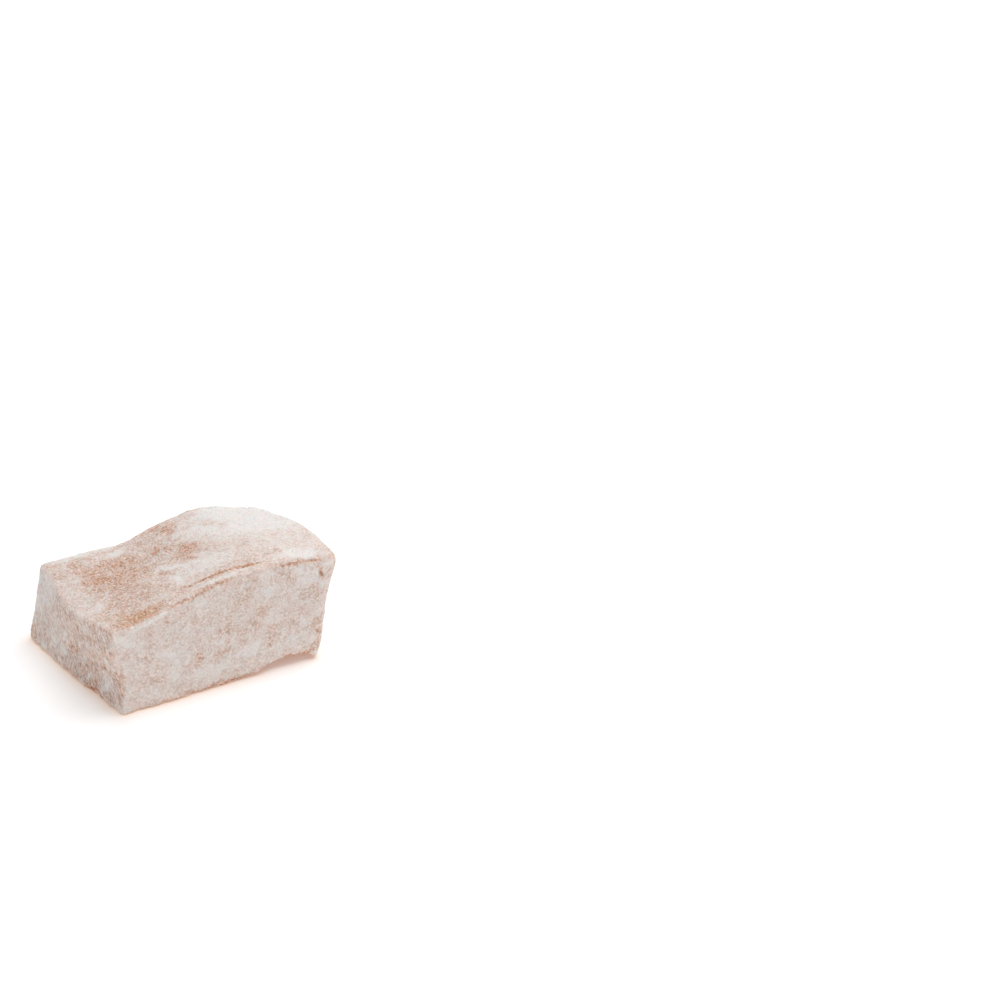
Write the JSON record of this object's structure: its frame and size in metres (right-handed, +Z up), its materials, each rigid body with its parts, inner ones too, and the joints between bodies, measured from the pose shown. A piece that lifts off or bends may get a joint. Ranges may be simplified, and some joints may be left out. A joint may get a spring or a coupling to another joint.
{
  "type": "turkish delight cube",
  "caption": "Oblong hand-cut block of set starch gel sweet with a domed top, a folded top edge and a ragged lower rim, dusted with sugar and starch powder.",
  "frame": {"origin": "middle of the outline seen from above, on the table under the block", "axes": "+X along the long side, towards the higher end; +Y from the long side with the folded edge towards the back; +Z up"},
  "size_m": [0.038, 0.0286, 0.0182],
  "materials": {
    "powdered_gel": "amber starch gel under a matt, patchy dusting of icing sugar and cornflour"
  },
  "bodies": {
    "root": {"turkish_delight": "powdered_gel"}
  },
  "joints": []
}
